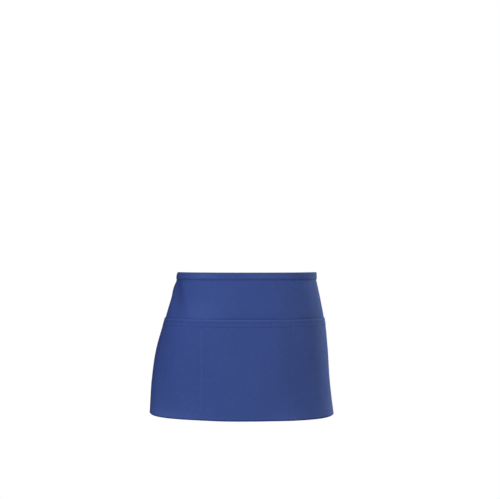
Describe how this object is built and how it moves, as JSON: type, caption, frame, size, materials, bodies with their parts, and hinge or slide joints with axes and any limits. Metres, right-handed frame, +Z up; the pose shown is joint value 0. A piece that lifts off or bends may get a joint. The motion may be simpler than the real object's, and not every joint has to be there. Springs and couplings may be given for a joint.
{
  "type": "waist apron",
  "caption": "Short cloth waist apron in its worn form: a skirt with a sewn-on panel of pockets, a narrow folded waistband, and ties in a bow behind.",
  "frame": {"origin": "middle of the waist that the apron is tied round, level with the waistband's top edge at centre front", "axes": "+Z up, the apron's front faces -Y, +X to the right as seen from the front"},
  "size_m": [0.3921, 0.2477, 0.305],
  "materials": {
    "apron_cloth": "matt royal blue twill"
  },
  "bodies": {
    "root": {"skirt_panel": "apron_cloth", "pocket_panel": "apron_cloth", "waistband": "apron_cloth", "tie_left": "apron_cloth", "tie_right": "apron_cloth", "bow_knot": "apron_cloth"}
  },
  "joints": []
}
